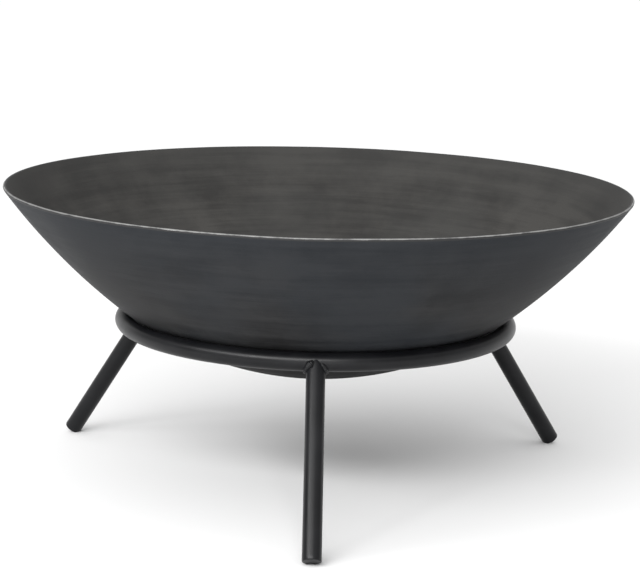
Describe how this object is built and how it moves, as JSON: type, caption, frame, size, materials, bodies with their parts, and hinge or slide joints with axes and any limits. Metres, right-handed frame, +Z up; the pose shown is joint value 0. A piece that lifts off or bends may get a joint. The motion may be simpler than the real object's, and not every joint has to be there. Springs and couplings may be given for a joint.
{
  "type": "fire pit",
  "caption": "Shallow round iron fire bowl resting in a welded ring stand with splayed round-bar legs, with a lift-out round grate inside.",
  "frame": {"origin": "on the ground, on the bowl's axis, at the centre of the bounding box's lowest face", "axes": "+Z up along the bowl's axis, -Y towards the front leg, +X to the right seen from the front"},
  "size_m": [0.5588, 0.5588, 0.2663],
  "materials": {
    "bowl_iron": "dark charcoal raw iron, satin, faint turning marks, bare worn edge on the rim",
    "stand_paint": "satin black heat-proof paint over welded round bar",
    "grate_steel": "matte heat-darkened mild steel"
  },
  "bodies": {
    "stand": {"stand_ring": "stand_paint", "front_leg": "stand_paint", "right_leg": "stand_paint", "left_leg": "stand_paint", "front_leg_weld_left": "stand_paint", "front_leg_weld_right": "stand_paint", "right_leg_weld_left": "stand_paint", "right_leg_weld_right": "stand_paint", "left_leg_weld_left": "stand_paint", "left_leg_weld_right": "stand_paint"},
    "bowl": {"bowl": "bowl_iron"},
    "grate": {"grate_ring": "grate_steel", "grate_bearer_front": "grate_steel", "grate_bearer_back": "grate_steel", "grate_bar_1": "grate_steel", "grate_bar_2": "grate_steel", "grate_bar_3": "grate_steel", "grate_bar_4": "grate_steel", "grate_bar_5": "grate_steel", "grate_bar_6": "grate_steel", "grate_bar_7": "grate_steel", "grate_bar_8": "grate_steel", "grate_bar_9": "grate_steel"}
  },
  "joints": [
    {"name": "bowl_lift", "type": "slide", "parent": "stand", "child": "bowl", "axis": [0, 0, 1], "range_m": [0, 0.2]},
    {"name": "grate_lift", "type": "slide", "parent": "bowl", "child": "grate", "axis": [0, 0, 1], "range_m": [0, 0.2]}
  ]
}
